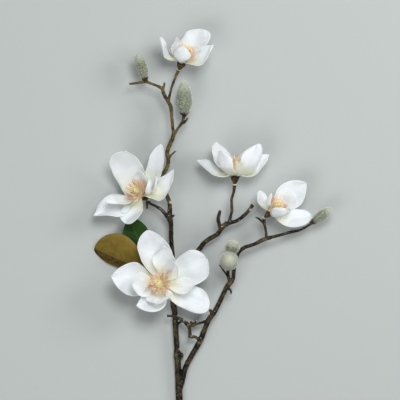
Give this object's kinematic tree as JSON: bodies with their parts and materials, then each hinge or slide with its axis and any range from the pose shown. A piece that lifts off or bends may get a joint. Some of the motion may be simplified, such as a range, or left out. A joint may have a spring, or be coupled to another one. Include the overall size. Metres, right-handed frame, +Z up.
{
  "type": "magnolia branch",
  "caption": "Cut branch of a white magnolia with open blooms, furry flower buds and leaves, lying flat to rest on a surface.",
  "frame": {"origin": "centre of the bounding box in plan, on the surface that the branch lies on", "axes": "+Z up from the surface, +Y along the main stem towards the top bloom, +X towards the right-hand branch"},
  "size_m": [0.299, 0.5238, 0.064],
  "materials": {
    "bark": "matt olive-brown bark with pale ring scars",
    "tepal": "satin cool white, cream-green towards the foot",
    "stamen": "matt coral pink with cream feet",
    "pistil": "matt pale yellow-green",
    "bud_fur": "soft grey-green silky fur",
    "leaf_bronze": "matt golden bronze underside",
    "leaf_green": "satin dark green"
  },
  "bodies": {
    "root": {"branch": "bark", "bloom_1_tepals": "tepal", "bloom_1_stamens": "stamen", "bloom_1_pistils": "pistil", "bloom_2_tepals": "tepal", "bloom_2_stamens": "stamen", "bloom_2_pistils": "pistil", "bloom_3_tepals": "tepal", "bloom_3_stamens": "stamen", "bloom_3_pistils": "pistil", "bloom_4_tepals": "tepal", "bloom_4_stamens": "stamen", "bloom_4_pistils": "pistil", "bloom_5_tepals": "tepal", "bloom_5_stamens": "stamen", "bloom_5_pistils": "pistil", "bud_1": "bud_fur", "bud_2": "bud_fur", "bud_3": "bud_fur", "bud_4": "bud_fur", "bud_5": "bud_fur", "bronze_leaf": "leaf_bronze", "green_leaf": "leaf_green"}
  },
  "joints": []
}
